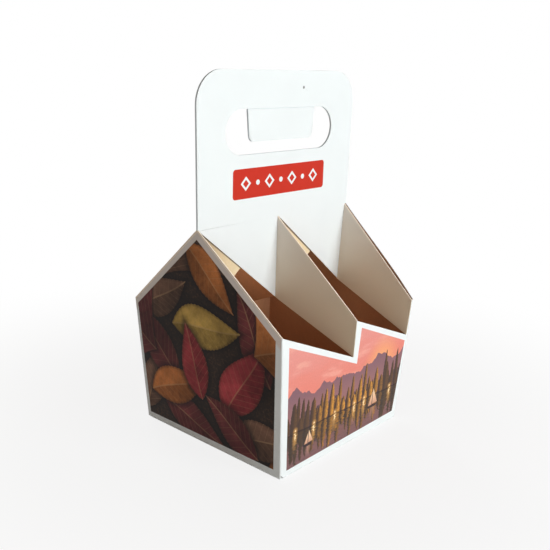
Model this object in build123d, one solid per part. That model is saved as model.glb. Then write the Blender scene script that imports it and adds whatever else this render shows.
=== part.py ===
from build123d import *
import os
from math import cos, radians, tan

# Carrier for four bottles, struck from one sheet of carton board, folded and glued.
# Frame: X runs along the handle, Y runs across it, Z is up, and the origin is the
# middle of the base. The carrier is the same again after half a turn about Z.

# Board
BOARD = 0.7                # thickness of one ply
PLY_GAP = 0.5              # air between an end panel and the ply folded back inside it
FOLD_RADIUS = 1.0          # outside radius of the upright folds
BASE_FOLD_RADIUS = 2.2     # outside radius of the folds round the base
STEP_FOLD_RADIUS = 0.5     # outside radius where a divider turns in from its panel

# Body, outside sizes
BASE_LENGTH = 124.0        # along the handle
BASE_DEPTH = 125.0         # across the handle
END_LEAN = 4.4             # outward lean of the end panels, in degrees
FRONT_LEAN = 2.6           # outward lean of the front and back panels, in degrees
LAP_EAVE_HEIGHT = 94.4     # eave where an end panel and a sawtooth panel share a fold
EAVE_HEIGHT = 88.4         # the other eaves, and the crest of each sawtooth
VALLEY_HEIGHT = 63.4       # low points of each sawtooth
PEAK_HEIGHT = 146.5        # top of the end panels and of the dividers
PLY_LOW_HEIGHT = 90.6      # low points of each handle ply, at its divider and its end ply
STEP_OFFSET = 3.2          # from the middle to the step of the front panel, along the handle
DIVIDER_ROOT = -1.4        # where the front divider meets the handle, along the handle
DIVIDER_STRAIGHT = 4.0     # square run of a divider at each of its folds

# Handle
HANDLE_HEIGHT = 240.0
HANDLE_TOP_WIDTH = 150.0
HANDLE_CORNER_RADIUS = 20.0
HOLE_WIDTH = 102.6
HOLE_HEIGHT = 28.1
HOLE_BELOW_TOP = 23.1      # from the handle's top edge down to the hole

# Hand flap, which hangs in the hole from a crease along its top
FLAP_TOP_WIDTH = 64.0
FLAP_BOTTOM_WIDTH = 60.0
FLAP_REACH = 20.4          # from the top of the hole down to the flap's lower edge
FLAP_CORNER_RADIUS = 4.0
CREASE_GAP = 0.2           # between the flap's rounded top and the edge of the hole

# Base and glued joint
INNER_FLAP_LENGTH = 40.0   # base flaps folded in from the end panels
INNER_FLAP_SETBACK = 4.0   # side clearance of those flaps
LOCK_HALF_LENGTH = 18.0    # half the length of the S-shaped lock of the outer base flaps
LOCK_SHOULDER = 7.0        # run from the lock to the straight part of its seam
LOCK_DEPTH = 12.0          # reach of each outer flap past the middle
SEAM_WIDTH = 0.4
SEAM_DEPTH = 0.3
GLUE_TAB_WIDTH = 14.0
GLUE_TAB_TAPER = 5.0       # how much shorter the tab's free edge is at each end

# Worked out from the sizes above
HANDLE_THICKNESS = 2 * BOARD
FLOOR_THICKNESS = 2 * BOARD
DOUBLED_WALL = 2 * BOARD + PLY_GAP
HOLE_TOP = HANDLE_HEIGHT - HOLE_BELOW_TOP
FLAP_BOTTOM = HOLE_TOP - FLAP_REACH
FLAP_AXIS_HEIGHT = HOLE_TOP - CREASE_GAP - HANDLE_THICKNESS / 2
ABOVE_ALL = HANDLE_HEIGHT + 10.0


def half_length(height, inset=0.0):
    """Half the body's length at a height, to a surface set in from the outside."""
    return BASE_LENGTH / 2 + height * tan(radians(END_LEAN)) - inset / cos(radians(END_LEAN))


def half_depth(height, inset=0.0):
    """Half the body's depth at a height, to a surface set in from the outside."""
    return BASE_DEPTH / 2 + height * tan(radians(FRONT_LEAN)) - inset / cos(radians(FRONT_LEAN))


def along_x(outline, x_from, x_to):
    """Prism of a Y-Z outline between two X positions."""
    return extrude(Plane.YZ.offset(x_from) * outline, amount=x_to - x_from, dir=(1, 0, 0))


def along_y(outline, y_from, y_to):
    """Prism of an X-Z outline between two Y positions."""
    return extrude(Plane.XZ.offset(-y_from) * outline, amount=y_to - y_from, dir=(0, 1, 0))


def half_turn(shape):
    """The same shape on the other side of the handle."""
    return shape.rotate(Axis.Z, 180)


def tapered_block(inset, bottom, upright_radius, bottom_radius):
    """Block with the body's leaning sides, from a height up past the peaks."""
    top = PEAK_HEIGHT + BOARD
    outlines = []
    for height in (bottom, top):
        outline = Rectangle(2 * half_length(height, inset), 2 * half_depth(height, inset))
        outlines.append(Pos(0, 0, height) * outline)
    block = loft(outlines)
    uprights = block.edges().filter_by(lambda edge: abs(edge.tangent_at(0.5).Z) > 0.9)
    rolled_bottom = fillet(block.edges().group_by(Axis.Z)[0], bottom_radius)
    return rolled_bottom & fillet(uprights, upright_radius)


def gable_space():
    """Everything under the roof lines: each end has its lap eave on its own side."""
    reach = half_depth(PEAK_HEIGHT)
    crown = HANDLE_THICKNESS / 2
    lap_run = half_depth(LAP_EAVE_HEIGHT) - crown
    lap_drop = (PEAK_HEIGHT - LAP_EAVE_HEIGHT) / lap_run * (reach - crown)
    eave_run = half_depth(EAVE_HEIGHT) - crown
    eave_drop = (PEAK_HEIGHT - EAVE_HEIGHT) / eave_run * (reach - crown)
    outline = Polygon(
        (-reach, -BOARD),
        (-reach, PEAK_HEIGHT - lap_drop),
        (-crown, PEAK_HEIGHT),
        (crown, PEAK_HEIGHT),
        (reach, PEAK_HEIGHT - eave_drop),
        (reach, -BOARD),
        align=None,
    )
    near_half = along_x(outline, -half_length(PEAK_HEIGHT) - BOARD, 0)
    return near_half + half_turn(near_half)


def above_sawtooth():
    """What is struck away above the sawtooth edge of the front panel."""
    outline = Polygon(
        (-half_length(LAP_EAVE_HEIGHT, BOARD), LAP_EAVE_HEIGHT),
        (STEP_OFFSET - BOARD / 2, VALLEY_HEIGHT),
        (STEP_OFFSET - BOARD / 2, EAVE_HEIGHT),
        (half_length(VALLEY_HEIGHT, DOUBLED_WALL), VALLEY_HEIGHT),
        (half_length(PEAK_HEIGHT, DOUBLED_WALL), PEAK_HEIGHT),
        (-half_length(PEAK_HEIGHT, BOARD), PEAK_HEIGHT),
        align=None,
    )
    inner_face = half_depth(VALLEY_HEIGHT, 2 * BOARD)
    return along_y(outline, -half_depth(ABOVE_ALL), -inner_face)


def round_step_folds(walls):
    """Rounds the upright folds where each divider and end ply turns in."""
    middle = (VALLEY_HEIGHT + EAVE_HEIGHT) / 2
    folds = []
    for side in (-1, 1):
        face_y = side * half_depth(middle)
        for fold_x in (STEP_OFFSET - BOARD / 2, half_length(middle, DOUBLED_WALL)):
            spot = Vector(-side * fold_x, face_y, middle)
            folds.append(walls.edges().sort_by_distance(spot)[0])
    return fillet(folds, STEP_FOLD_RADIUS)


def body_walls():
    """Four leaning walls and the outer layer of the base, as one folded tray."""
    outside = tapered_block(0.0, 0.0, FOLD_RADIUS, BASE_FOLD_RADIUS)
    inside = tapered_block(BOARD, BOARD, FOLD_RADIUS - BOARD, BASE_FOLD_RADIUS - BOARD)
    tray = (outside - inside) & gable_space()
    struck = above_sawtooth()
    return round_step_folds(tray - struck - half_turn(struck))


def divider_outline():
    """Y-Z outline of a divider, from the step of the front panel up to the handle."""
    return Polygon(
        (-half_depth(VALLEY_HEIGHT, BOARD / 2), VALLEY_HEIGHT),
        (-half_depth(EAVE_HEIGHT, BOARD / 2), EAVE_HEIGHT),
        (-BOARD, PEAK_HEIGHT),
        (-BOARD / 2, PEAK_HEIGHT),
        (-BOARD / 2, PLY_LOW_HEIGHT),
        align=None,
    )


def divider():
    """Plate turned in from the front panel, and joined to the handle a little nearer."""
    reach = half_depth(PEAK_HEIGHT)
    panel_end = half_depth(VALLEY_HEIGHT) - DIVIDER_STRAIGHT
    run = [
        (STEP_OFFSET, -reach),
        (STEP_OFFSET, -panel_end),
        (DIVIDER_ROOT, -DIVIDER_STRAIGHT),
        (DIVIDER_ROOT, 0),
    ]
    near_side = [(x - BOARD / 2, y) for x, y in run]
    far_side = [(x + BOARD / 2, y) for x, y in reversed(run)]
    plan = Polygon(*near_side, *far_side, align=None)
    strip = extrude(plan, amount=PEAK_HEIGHT + BOARD, dir=(0, 0, 1))
    return strip & along_x(divider_outline(), DIVIDER_ROOT - BOARD, STEP_OFFSET + BOARD)


def end_ply():
    """Ply folded back inside the far end panel, cut to the divider's outline."""
    outline = Polygon(
        (half_length(0, DOUBLED_WALL), 0),
        (half_length(0, BOARD + PLY_GAP), 0),
        (half_length(PEAK_HEIGHT, BOARD + PLY_GAP), PEAK_HEIGHT),
        (half_length(PEAK_HEIGHT, DOUBLED_WALL), PEAK_HEIGHT),
        align=None,
    )
    leaning_plate = along_y(outline, -half_depth(PEAK_HEIGHT), 0)
    return leaning_plate & along_x(divider_outline(), 0, half_length(ABOVE_ALL))


def handle_ply():
    """Front ply of the handle, with its sawtooth lower edge between the cells."""
    far_edge = half_length(PLY_LOW_HEIGHT, BOARD + PLY_GAP)
    far_peak = half_length(PEAK_HEIGHT, BOARD + PLY_GAP)
    top_half_width = HANDLE_TOP_WIDTH / 2
    outline = Polygon(
        (-half_length(PEAK_HEIGHT), PEAK_HEIGHT),
        (DIVIDER_ROOT - BOARD / 2, PLY_LOW_HEIGHT),
        (DIVIDER_ROOT + BOARD / 2, PLY_LOW_HEIGHT),
        (DIVIDER_ROOT + BOARD / 2, PEAK_HEIGHT),
        (far_edge, PLY_LOW_HEIGHT),
        (far_peak, PEAK_HEIGHT),
        (half_length(PEAK_HEIGHT), PEAK_HEIGHT),
        (top_half_width, HANDLE_HEIGHT),
        (-top_half_width, HANDLE_HEIGHT),
        align=None,
    )
    outline = fillet(outline.vertices().group_by(Axis.Y)[-1], HANDLE_CORNER_RADIUS)
    return along_y(outline, -BOARD, 0)


def hand_hole():
    """Round-ended hole through both plies of the handle."""
    outline = Pos(0, HOLE_TOP - HOLE_HEIGHT / 2) * SlotOverall(HOLE_WIDTH, HOLE_HEIGHT)
    return along_y(outline, -HANDLE_THICKNESS, HANDLE_THICKNESS)


def inner_base_flap():
    """Base flap folded in from the near end panel, lying on the outer flaps."""
    root = half_length(BOARD, BOARD / 2)
    side = half_depth(BOARD) - INNER_FLAP_SETBACK
    outline = Polygon(
        (-root, -side),
        (-root + INNER_FLAP_LENGTH, -side + INNER_FLAP_LENGTH),
        (-root + INNER_FLAP_LENGTH, side - INNER_FLAP_LENGTH),
        (-root, side),
        align=None,
    )
    return extrude(Pos(0, 0, BOARD) * outline, amount=BOARD, dir=(0, 0, 1))


def base_seams():
    """Grooves under the base: the locked seam of the outer flaps and their ends."""
    end = half_length(0) - 2 * BASE_FOLD_RADIUS
    side = half_depth(0) - BASE_FOLD_RADIUS
    shoulder = LOCK_HALF_LENGTH + LOCK_SHOULDER
    lock = Polyline(
        (-end, 0),
        (-shoulder, 0),
        (-LOCK_HALF_LENGTH, LOCK_DEPTH),
        (LOCK_HALF_LENGTH, -LOCK_DEPTH),
        (shoulder, 0),
        (end, 0),
    )
    flap_end = Line((end, -side), (end, side))
    seams = trace(lock, SEAM_WIDTH) + trace(flap_end, SEAM_WIDTH)
    seams += half_turn(trace(flap_end, SEAM_WIDTH))
    return extrude(seams, amount=SEAM_DEPTH, dir=(0, 0, 1))


def glue_tab():
    """Lap inside the back panel that closes the sleeve, next to the near end panel."""
    low = 2 * FLOOR_THICKNESS + BASE_FOLD_RADIUS
    high = VALLEY_HEIGHT - 2 * BASE_FOLD_RADIUS
    outline = Polygon(
        (-half_length(low, BOARD / 2), low),
        (-half_length(low) + GLUE_TAB_WIDTH, low + GLUE_TAB_TAPER),
        (-half_length(low) + GLUE_TAB_WIDTH, high - GLUE_TAB_TAPER),
        (-half_length(high, BOARD / 2), high),
        align=None,
    )
    lap_zone = along_y(outline, 0, half_depth(high))
    lean = Polygon(
        (half_depth(0, 2 * BOARD), 0),
        (half_depth(0, BOARD / 2), 0),
        (half_depth(PEAK_HEIGHT, BOARD / 2), PEAK_HEIGHT),
        (half_depth(PEAK_HEIGHT, 2 * BOARD), PEAK_HEIGHT),
        align=None,
    )
    return lap_zone & along_x(lean, -half_length(ABOVE_ALL), 0)


def carrier_sheet():
    """The whole folded and glued sheet, apart from the hand flap."""
    sheet = body_walls()
    for piece in (divider(), end_ply(), handle_ply(), inner_base_flap()):
        sheet = sheet + piece + half_turn(piece)
    sheet = sheet + glue_tab()
    return sheet - hand_hole() - base_seams()


def hand_flap():
    """Both plies cut free on three sides, with a rounded top that turns on the crease."""
    outline = Polygon(
        (-FLAP_TOP_WIDTH / 2, FLAP_AXIS_HEIGHT),
        (-FLAP_BOTTOM_WIDTH / 2, FLAP_BOTTOM),
        (FLAP_BOTTOM_WIDTH / 2, FLAP_BOTTOM),
        (FLAP_TOP_WIDTH / 2, FLAP_AXIS_HEIGHT),
        align=None,
    )
    outline = fillet(outline.vertices().group_by(Axis.Y)[0], FLAP_CORNER_RADIUS)
    plate = along_y(outline, -HANDLE_THICKNESS / 2, HANDLE_THICKNESS / 2)
    crease = Cylinder(HANDLE_THICKNESS / 2, FLAP_TOP_WIDTH, rotation=(0, 90, 0))
    return plate + Pos(0, 0, FLAP_AXIS_HEIGHT) * crease


os.makedirs("parts", exist_ok=True)
export_step(carrier_sheet(), "parts/carrier_sheet.step")
export_step(hand_flap(), "parts/hand_flap.step")
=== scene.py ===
import math

import bmesh
import bpy
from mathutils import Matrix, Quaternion, Vector


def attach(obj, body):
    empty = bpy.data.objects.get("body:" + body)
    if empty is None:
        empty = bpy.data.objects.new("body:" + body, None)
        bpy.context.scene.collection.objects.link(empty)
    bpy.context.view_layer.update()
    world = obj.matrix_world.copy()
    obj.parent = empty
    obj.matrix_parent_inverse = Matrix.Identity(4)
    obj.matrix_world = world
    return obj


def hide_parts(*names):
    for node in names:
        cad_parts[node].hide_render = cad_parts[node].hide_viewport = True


bl_info = {
    "name": "Carton bottle carrier",
    "version": (1, 0, 0),
    "blender": (4, 5, 0),
    "location": "3D View > Sidebar > Carrier",
    "description": "Folded carton carrier for four bottles, with its print, and a plain studio",
    "category": "Object",
}

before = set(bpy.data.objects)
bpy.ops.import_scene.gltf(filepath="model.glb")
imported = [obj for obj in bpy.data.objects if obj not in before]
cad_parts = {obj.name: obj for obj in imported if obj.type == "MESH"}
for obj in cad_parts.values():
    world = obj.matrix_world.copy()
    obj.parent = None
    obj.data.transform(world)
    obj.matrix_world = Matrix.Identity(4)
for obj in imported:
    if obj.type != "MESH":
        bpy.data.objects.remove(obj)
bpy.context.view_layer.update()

MM = 0.001
SHEET_NODE = "carrier_sheet"
FLAP_NODE = "hand_flap"
HANDLE_FINISH = "coated_handle"
EDGE_FINISH = "cut_edge"

# Shape of the carton, in millimetres, as its solids have it
BOARD = 0.7
BASE_HALF_LENGTH = 62.0
BASE_HALF_DEPTH = 62.5
END_SLOPE = math.tan(math.radians(4.4))
FRONT_SLOPE = math.tan(math.radians(2.6))
PEAK_HEIGHT = 146.5
EAVE_HEIGHT = 88.4
SHARED_EAVE_HEIGHT = 94.4
DIVIDER_ROOT = -1.4
DIVIDER_REACH = 4.0
BASE_ROUNDING = 2.2

# Distance at which two places count as one: for faces in millimetres, and for points in metres
NEAR = 0.05
MERGE = 0.000001


def colour_property(name, description, default):
    """Colour that the user can set."""
    return bpy.props.FloatVectorProperty(
        name=name, description=description, default=default, size=3,
        subtype="COLOR", min=0.0, max=1.0,
    )


def angle_property(name, description, degrees):
    """Angle that the user can set."""
    return bpy.props.FloatProperty(
        name=name, description=description, default=math.radians(degrees), subtype="ANGLE", unit="ROTATION")


def length_property(name, description, default):
    """Length in metres that the user can set."""
    return bpy.props.FloatProperty(
        name=name, description=description, default=default, subtype="DISTANCE", unit="LENGTH")


def place_property(name, description, default):
    """Point in metres that the user can set."""
    return bpy.props.FloatVectorProperty(
        name=name, description=description, default=default, subtype="TRANSLATION", unit="LENGTH")


def share_property(name, description, default):
    """Share from 0 to 1 that the user can set."""
    return bpy.props.FloatProperty(
        name=name, description=description, default=default, min=0.0, max=1.0, subtype="FACTOR")


def number_property(name, description, default, unit="NONE"):
    """Number that the user can set, with its unit where it has one."""
    return bpy.props.FloatProperty(name=name, description=description, default=default, unit=unit)


class CarrierBoardSettings(bpy.types.PropertyGroup):
    """Finish of the carton board itself, with painted light and shade in some of its colours."""

    coat: colour_property("Coat", "White clay coat on the outside of the board", (0.845, 0.89, 0.90))
    # High and low coats: the white coat in painted shade, with painted warm bounce light from the brown
    # cells that grows towards the foot
    painted_shade_coat_high: colour_property("High coat", "Coat at the top of the dividers", (0.76, 0.715, 0.64))
    painted_bounce_coat_low: colour_property("Low coat", "Coat at the foot of the dividers", (0.86, 0.77, 0.60))
    # Slope coat: the white coat in painted warm shade, near the slopes of the end panels
    painted_shade_slope_coat: colour_property("Slope coat", "Coat along the slopes of the end panels", (0.79, 0.73, 0.69))
    # Kraft: the plies' brown side, painted as lit by the key lamp; deep kraft: the same brown in painted
    # shade, as inside the cells
    kraft: colour_property("Kraft", "Brown uncoated side of the handle's plies", (0.90, 0.74, 0.48))
    painted_shade_kraft: colour_property("Deep kraft", "Brown uncoated side inside the cells", (0.49, 0.24, 0.125))
    kraft_fleck: colour_property("Kraft fleck", "Darker fibres in the brown side", (0.40, 0.22, 0.10))
    cut_edge: colour_property("Cut edge", "Struck edge of the board", (1.0, 0.87, 0.73))
    handle_edge: colour_property(
        "Handle edge", "Struck edge round the handle and its flap", (0.84, 0.94, 1.0))
    # Ply line: painted shadow beside the plies' edges, and the dark glue line between the plies on the
    # handle's struck edge
    ply_joint_and_painted_shadow: colour_property("Ply line", "Shadow between two glued plies", (0.16, 0.11, 0.08))
    coat_roughness: share_property("Coat roughness", "Roughness of the coated side", 0.46)
    label: colour_property("Label", "Field of the label on the handle", (0.56, 0.020, 0.006))


class CarrierLakeSettings(bpy.types.PropertyGroup):
    """Colours of the evening lake on the front and back panels."""

    sky_high: colour_property("High sky", "Sky along the top of the picture", (0.776, 0.308, 0.271))
    sky_low: colour_property("Low sky", "Sky over the hills", (0.80, 0.24, 0.185))
    far_hill: colour_property("Far hills", "Hills along the horizon", (0.24, 0.13, 0.155))
    near_hill: colour_property("Near hills", "Hills on the shore", (0.105, 0.068, 0.075))
    tree: colour_property("Trees", "Shaded side of the poplars", (0.070, 0.045, 0.038))
    gold: colour_property("Gold", "Poplars in the last light", (0.74, 0.34, 0.065))
    water: colour_property("Water", "Shade that the lake adds to what it mirrors", (0.085, 0.080, 0.068))
    glow: colour_property("Glow", "Sun, lanterns and their glints", (1.0, 0.52, 0.16))


class CarrierLeafSettings(bpy.types.PropertyGroup):
    """Colours of the autumn leaves on the end panels."""

    ground: colour_property("Ground", "Dark earth under the leaves", (0.030, 0.020, 0.016))
    maroon: colour_property("Maroon", "Maroon leaves", (0.175, 0.043, 0.044))
    crimson: colour_property("Crimson", "Crimson leaves", (0.40, 0.058, 0.068))
    mustard: colour_property("Mustard", "Mustard leaves", (0.55, 0.36, 0.100))
    orange: colour_property("Orange", "Orange leaves", (0.50, 0.18, 0.058))
    umber: colour_property("Umber", "Brown leaves", (0.18, 0.098, 0.066))


class CarrierStudioSettings(bpy.types.PropertyGroup):
    """Camera, lamps and floor."""

    azimuth: angle_property("Azimuth", "Direction the camera stands in, round the object", -48.49)
    elevation: angle_property("Elevation", "Height of the camera over the horizon", 15.45)
    roll: angle_property("Roll", "Turn of the camera about its own line of sight", 1.76)
    distance: length_property("Distance", "From the camera to the point it looks at", 0.52697)
    target: place_property("Target", "Point the camera looks at", (0.0, 0.00163, 0.10499))
    lens: number_property("Lens", "Focal length in millimetres, on a 36 mm sensor", 50.67, "CAMERA")
    sky_light: number_property("Sky light", "Strength of the light from all round", 0.26)
    sky_shade: share_property("Sky shade", "Share of the sky light that its dimmest part lacks", 0.6)
    sky_colour: colour_property("Sky colour", "Colour of the light from all round", (1.0, 0.865, 0.745))
    key_power: number_property("Key power", "Power of the large lamp before the front panel", 18.9, "POWER")
    key_place: place_property("Key place", "Where the large lamp stands", (0.22, -1.55, 0.48))
    fill_power: number_property("Fill power", "Power of the small lamp below the camera", 0.64, "POWER")
    back_power: number_property("Back power", "Power of the lamp behind the object", 9.0, "POWER")
    floor_size: length_property("Floor size", "Side of the square floor", 6.0)


# Half the width of a printed edge, in millimetres
PRINT_EDGE = 0.12


class ShaderNodes:
    """Adds nodes to one shader tree and joins them up."""

    def __init__(self, tree):
        self.tree = tree

    def feed(self, socket, value):
        """Joins a socket to another one, or sets its value."""
        if isinstance(value, bpy.types.NodeSocket):
            self.tree.links.new(value, socket)
        elif hasattr(value, "__len__"):
            room = len(socket.default_value)
            socket.default_value = (tuple(value) + (1.0,))[:room]
        else:
            socket.default_value = value

    def add(self, kind, feeds=(), **settings):
        """New node with its settings and what feeds its sockets."""
        node = self.tree.nodes.new(kind)
        for name, value in settings.items():
            setattr(node, name, value)
        for socket, value in feeds:
            self.feed(node.inputs[socket], value)
        return node

    def math(self, operation, first, second=0.0, third=0.0):
        """Result of one kind of sum on numbers."""
        node = self.add("ShaderNodeMath", ((0, first), (1, second), (2, third)), operation=operation)
        return node.outputs[0]

    def times(self, first, second):
        """Product of two numbers."""
        return self.math("MULTIPLY", first, second)

    def minus(self, first, second):
        """First number less the second."""
        return self.math("SUBTRACT", first, second)

    def linear(self, value, factor, shift):
        """Value times a factor, plus a shift."""
        return self.math("MULTIPLY_ADD", value, factor, shift)

    def plus(self, first, second):
        """Sum of two numbers."""
        return self.math("ADD", first, second)

    def size(self, value):
        """Number without its sign."""
        return self.math("ABSOLUTE", value)

    def most(self, first, second):
        """Larger of two numbers."""
        return self.math("MAXIMUM", first, second)

    def below(self, first, second):
        """1 where the first number is below the second, and 0 elsewhere."""
        return self.math("LESS_THAN", first, second)

    def mix(self, share, low, high, blend_type="MIX"):
        """Colour between two colours, by share."""
        node = self.add(
            "ShaderNodeMix", ((0, share), (6, low), (7, high)),
            data_type="RGBA", blend_type=blend_type, clamp_factor=True,
        )
        return node.outputs[2]

    def point(self, along, up, deep=0.0):
        """Point from three numbers."""
        return self.add("ShaderNodeCombineXYZ", ((0, along), (1, up), (2, deep))).outputs[0]

    def scaled(self, vector, factor):
        """Colour or point times a number."""
        node = self.add("ShaderNodeVectorMath", ((0, vector), (3, factor)), operation="SCALE")
        return node.outputs[0]

    def reach(self, across, up):
        """Distance that two offsets at right angles make together."""
        squared = self.linear(across, across, self.times(up, up))
        return self.math("SQRT", squared)

    def noise(self, point, scale, detail=2.0, roughness=0.5):
        """Soft noise from 0 to 1, about 0.5."""
        node = self.add(
            "ShaderNodeTexNoise",
            (("Vector", point), ("Scale", scale), ("Detail", detail), ("Roughness", roughness)),
        )
        return node.outputs["Fac"]

    def ease(self, value, low, high):
        """0 below one value and 1 above another, with a soft step between them."""
        node = self.add(
            "ShaderNodeMapRange", ((0, value), (1, low), (2, high), (3, 0.0), (4, 1.0)),
            interpolation_type="SMOOTHSTEP",
        )
        return node.outputs[0]

    def printed(self, inside):
        """1 inside a printed shape and 0 outside it, with an edge as sharp as print has."""
        return self.ease(inside, -PRINT_EDGE, PRINT_EDGE)

    def least(self, *values):
        """Smallest of several numbers."""
        result = values[0]
        for value in values[1:]:
            result = self.math("MINIMUM", result, value)
        return result

    def within(self, along, up, *corners):
        """Distance inside straight sides that are walked from corner to corner with it on the left."""
        sides = []
        for start, end in zip(corners, corners[1:]):
            run = Vector(end) - Vector(start)
            normal = Vector((-run.y, run.x)).normalized()
            offset = -normal.dot(Vector(start))
            part = self.linear(along, normal.x, offset)
            sides.append(self.linear(up, normal.y, part))
        return self.least(*sides)


def object_millimetres(nodes):
    """X, Y and Z of the object's own coordinates in millimetres."""
    place = nodes.add("ShaderNodeTexCoord").outputs["Object"]
    return nodes.add("ShaderNodeSeparateXYZ", ((0, nodes.scaled(place, 1 / MM)),)).outputs


def new_object(name, data):
    """Object in the scene that shows a mesh, a lamp or a camera."""
    thing = bpy.data.objects.new(name, data)
    bpy.context.scene.collection.objects.link(thing)
    return thing


def empty_material(name):
    """New material without nodes, and the means to add them."""
    material = bpy.data.materials.new(name)
    material.use_nodes = True
    material.node_tree.nodes.clear()
    return material, ShaderNodes(material.node_tree)


# Gloss of the board without print, how far the grain spreads its roughness, and the strength of its bump
BOARD_GLOSS = 0.2
ROUGHNESS_SPREAD = 0.16
BUMP_STRENGTH = 0.6


def board_material(name, paint, roughness, bump_height, gloss=BOARD_GLOSS):
    """Material whose colour and grain come from a paint function."""
    material, nodes = empty_material(name)
    colour, grain = paint(nodes, *object_millimetres(nodes))
    surface = nodes.add("ShaderNodeBsdfPrincipled")
    nodes.feed(surface.inputs["Base Color"], colour)
    uneven = nodes.linear(grain, ROUGHNESS_SPREAD, roughness - ROUGHNESS_SPREAD / 2)
    nodes.feed(surface.inputs["Roughness"], uneven)
    nodes.feed(surface.inputs["Specular IOR Level"], gloss)
    relief = nodes.add(
        "ShaderNodeBump", (("Height", grain), ("Distance", bump_height), ("Strength", BUMP_STRENGTH)),
    )
    nodes.feed(surface.inputs["Normal"], relief.outputs[0])
    nodes.add("ShaderNodeOutputMaterial", ((0, surface.outputs[0]),))
    return material


# Painted shade of a crease at the crushed foot of the near corner: along the outside from the fold, and up
NICK_START = (0.9, 3.1)
NICK_END = (3.7, 0.3)
NICK_FADE_OUT = 0.4
NICK_FADE_IN = 0.2
NICK_HALF_WIDTH = (0.6, 0.3)
CREASE_SHADE_SHARE = 0.7
CREASE_SHADE_COLOUR = (0.13, 0.11, 0.10)

# Sum of x and y, in millimetres, that is passed only beside the near corner
NEAR_CORNER = -118.0


def crease_shade_line(nodes, x, y, z):
    """1 on the painted shade of the crease at the near foot, and 0 away from it."""
    along = nodes.minus(x, y)
    away = nodes.size(nodes.within(along, z, NICK_START, NICK_END))
    past_start = nodes.ease(along, NICK_START[0] - NICK_FADE_OUT, NICK_START[0] + NICK_FADE_IN)
    before_end = nodes.ease(along, NICK_END[0] + NICK_FADE_OUT, NICK_END[0] - NICK_FADE_IN)
    part = nodes.times(past_start, before_end)
    corner = nodes.below(nodes.plus(x, y), NEAR_CORNER)
    return nodes.times(nodes.ease(away, *NICK_HALF_WIDTH), nodes.times(part, corner))


def coat_colour(nodes, x, y, z, coat):
    """White coat with its faint cloudiness, the fine grain that the board has under it, and the painted
    shade of the crease at the near foot.
    """
    place = nodes.point(x, y, z)
    cloud = nodes.noise(place, 0.035, 3.0)
    grain = nodes.noise(place, 1.6, 4.0, 0.6)
    shade = nodes.linear(cloud, 0.05, 0.965)
    shade = nodes.linear(grain, 0.02, shade)
    # Painted shade of the crease at the near foot
    crease_shade = nodes.times(crease_shade_line(nodes, x, y, z), CREASE_SHADE_SHARE)
    return nodes.mix(crease_shade, nodes.scaled(coat, shade), CREASE_SHADE_COLOUR), grain


def paint_outer_coat(settings):
    """Plain coated side, under the base and round the upright folds."""
    def paint(nodes, x, y, z):
        return coat_colour(nodes, x, y, z, settings.coat)
    return paint


# Struck slope of a divider or an end ply, outward from the middle and up, and the heights between which the
# painted warm bounce light on the coat grows
INNER_SLOPE = ((-BOARD, PEAK_HEIGHT), (-66.15, EAVE_HEIGHT))
LEAST_BOUNCE_HEIGHT = 152.0
MOST_BOUNCE_HEIGHT = 78.0


def paint_inner_coat(settings):
    """Coated side of the dividers and end plies, in painted shade, with painted warm bounce light from the
    brown cells towards its foot.
    """
    def paint(nodes, x, y, z):
        # Painted shade and painted warm bounce light on the coat, from the top of a divider to its foot
        coat = nodes.mix(nodes.ease(z, LEAST_BOUNCE_HEIGHT, MOST_BOUNCE_HEIGHT), settings.painted_shade_coat_high, settings.painted_bounce_coat_low)
        coat, grain = coat_colour(nodes, x, y, z, coat)
        outward = nodes.times(nodes.size(y), -1.0)
        slope = nodes.within(outward, z, *INNER_SLOPE)
        ragged = nodes.linear(grain, 0.4, -0.2)
        rubbed = nodes.ease(nodes.plus(slope, ragged), 0.8, 0.4)
        return nodes.mix(nodes.times(rubbed, 0.85), coat, settings.cut_edge), grain
    return paint


# Label on the handle: a rounded field with a row of plain marks
LABEL_CENTRE = (0.3, 170.8)
LABEL_HALF_SIZE = (44.6, 9.5)
LABEL_ROUNDING = 2.2
MARK_PITCH = 11.0
MARK_COUNT = 7
DIAMOND_REACH = 4.6
DIAMOND_HOLE = 2.6
DOT_RADIUS = 1.7
WORN_INK = (0.75, 0.10, 0.05)

# Speck near the handle's top, along and up, and the scratch that leaves it
SPECK = (20.2, 229.3)
SPECK_RADIUS = (1.2, 0.6)
SPECK_COLOUR = (0.10, 0.09, 0.09)
SCRATCH_END = (24.7, 226.9)
SCRATCH_HALF_WIDTH = (0.35, 0.1)
SCRATCH_SHARE = 0.12
SCRATCH_COLOUR = (0.3, 0.3, 0.3)


def rounded_field(nodes, along, up, centre, half_size, rounding):
    """Distance inside a rounded rectangle."""
    reach = []
    for value, middle, half in zip((along, up), centre, half_size):
        away = nodes.size(nodes.minus(value, middle))
        reach.append(nodes.most(nodes.minus(away, half - rounding), 0.0))
    return nodes.minus(rounding, nodes.reach(*reach))


def label_marks(nodes, along, up):
    """Row of diamonds and dots, which stand where a maker's word might."""
    first = LABEL_CENTRE[0] - MARK_PITCH * (MARK_COUNT - 1) / 2
    steps = nodes.linear(along, 1 / MARK_PITCH, 0.5 - first / MARK_PITCH)
    index = nodes.math("FLOOR", steps)
    offset = nodes.times(nodes.minus(nodes.math("FRACT", steps), 0.5), MARK_PITCH)
    across = nodes.size(offset)
    height = nodes.size(nodes.minus(up, LABEL_CENTRE[1]))
    spread = nodes.plus(across, height)
    outline = nodes.minus(DIAMOND_REACH, spread)
    diamond = nodes.least(outline, nodes.minus(spread, DIAMOND_HOLE))
    dot = nodes.minus(DOT_RADIUS, nodes.reach(across, height))
    odd = nodes.math("PINGPONG", index, 1.0)
    even = nodes.times(nodes.minus(1.0, odd), diamond)
    mark = nodes.plus(nodes.times(odd, dot), even)
    from_centre = nodes.size(nodes.minus(along, LABEL_CENTRE[0]))
    in_row = nodes.minus((MARK_COUNT - 0.1) * MARK_PITCH / 2, from_centre)
    return nodes.least(mark, in_row)


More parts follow.
